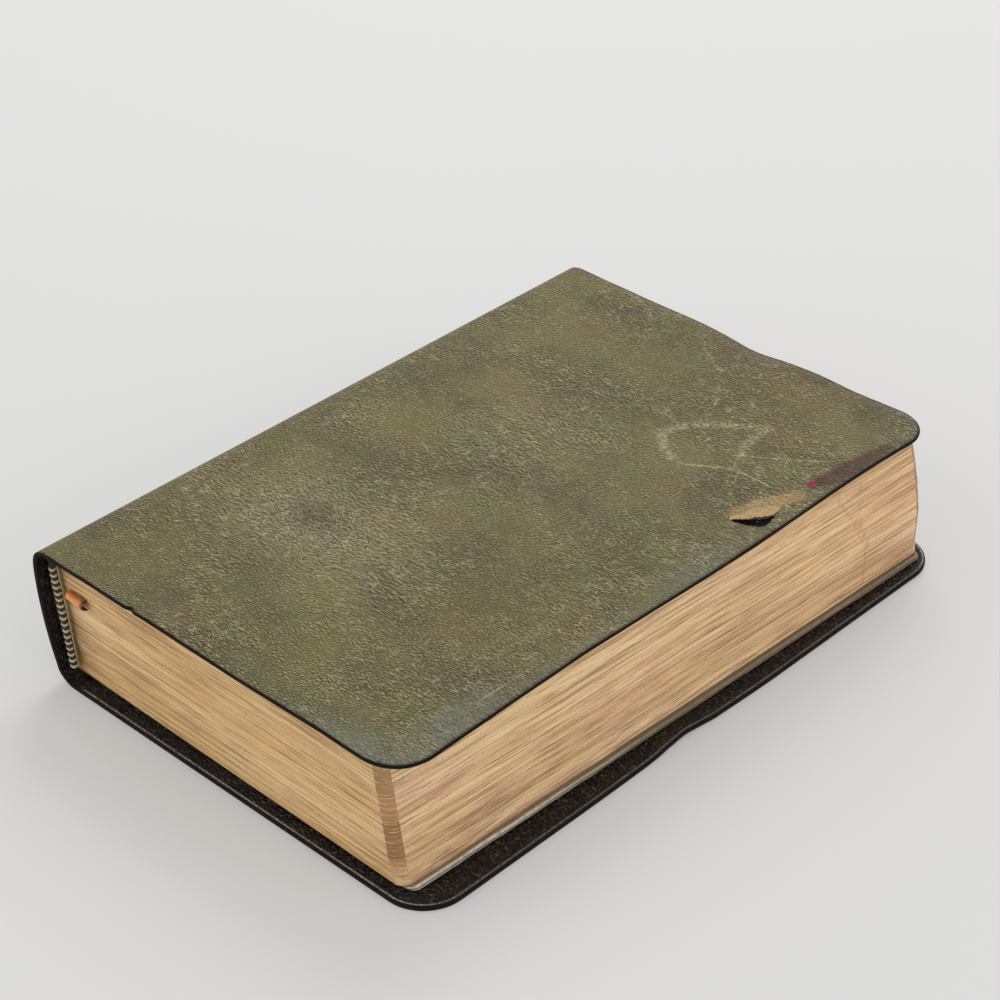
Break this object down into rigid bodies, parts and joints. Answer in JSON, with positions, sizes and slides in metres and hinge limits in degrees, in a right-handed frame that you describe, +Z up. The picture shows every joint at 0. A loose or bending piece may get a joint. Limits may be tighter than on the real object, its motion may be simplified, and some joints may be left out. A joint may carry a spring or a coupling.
{
  "type": "limp leather-bound book",
  "caption": "Old limp leather book with rounded cover corners, gilt page edges, striped headbands and a ribbon stub, lying closed on its front cover; both covers open.",
  "frame": {"origin": "middle of the book's footprint, on the surface it lies on (underside of the front cover)", "axes": "+X from spine to fore-edge, +Y from head to tail along the spine, +Z up through the thickness from front cover to back cover"},
  "size_m": [0.134, 0.19, 0.0384],
  "materials": {
    "cover_leather": "worn olive-brown goatskin, fine creased grain, satin",
    "gilt_pages": "rubbed gilt edge over pressed leaves, faint leaf lines",
    "endpaper": "aged plain paper, matte",
    "lining_paper": "brown lining paper, matte",
    "board": "thin limp card, matte",
    "gauze": "open-weave gauze stiffened with glue",
    "band_thread": "cream and black silk thread over a cord",
    "ribbon": "faded rust-red silk ribbon"
  },
  "bodies": {
    "book_block": {"text_block": "gilt_pages", "back_flyleaf": "endpaper", "front_flyleaf": "endpaper", "spine_mull": "gauze", "spine_lining": "lining_paper", "headband": "band_thread", "tailband": "band_thread", "ribbon_marker": "ribbon", "spine_leather": "cover_leather", "spine_inlay": "board"},
    "back_cover": {"back_cover_leather": "cover_leather", "back_board": "board", "back_infill": "lining_paper", "back_pastedown": "endpaper"},
    "front_cover": {"front_cover_leather": "cover_leather", "front_board": "board", "front_infill": "lining_paper", "front_pastedown": "endpaper"}
  },
  "joints": [
    {"name": "back_cover_hinge", "type": "hinge", "parent": "book_block", "child": "back_cover", "pos_m": [-0.06707, 0, 0.0352], "axis": [0, -1, 0], "range_deg": [0, 178]},
    {"name": "front_cover_hinge", "type": "hinge", "parent": "book_block", "child": "front_cover", "pos_m": [-0.06227, 0, 0.0024], "axis": [0, 1, 0], "range_deg": [0, 178]}
  ]
}
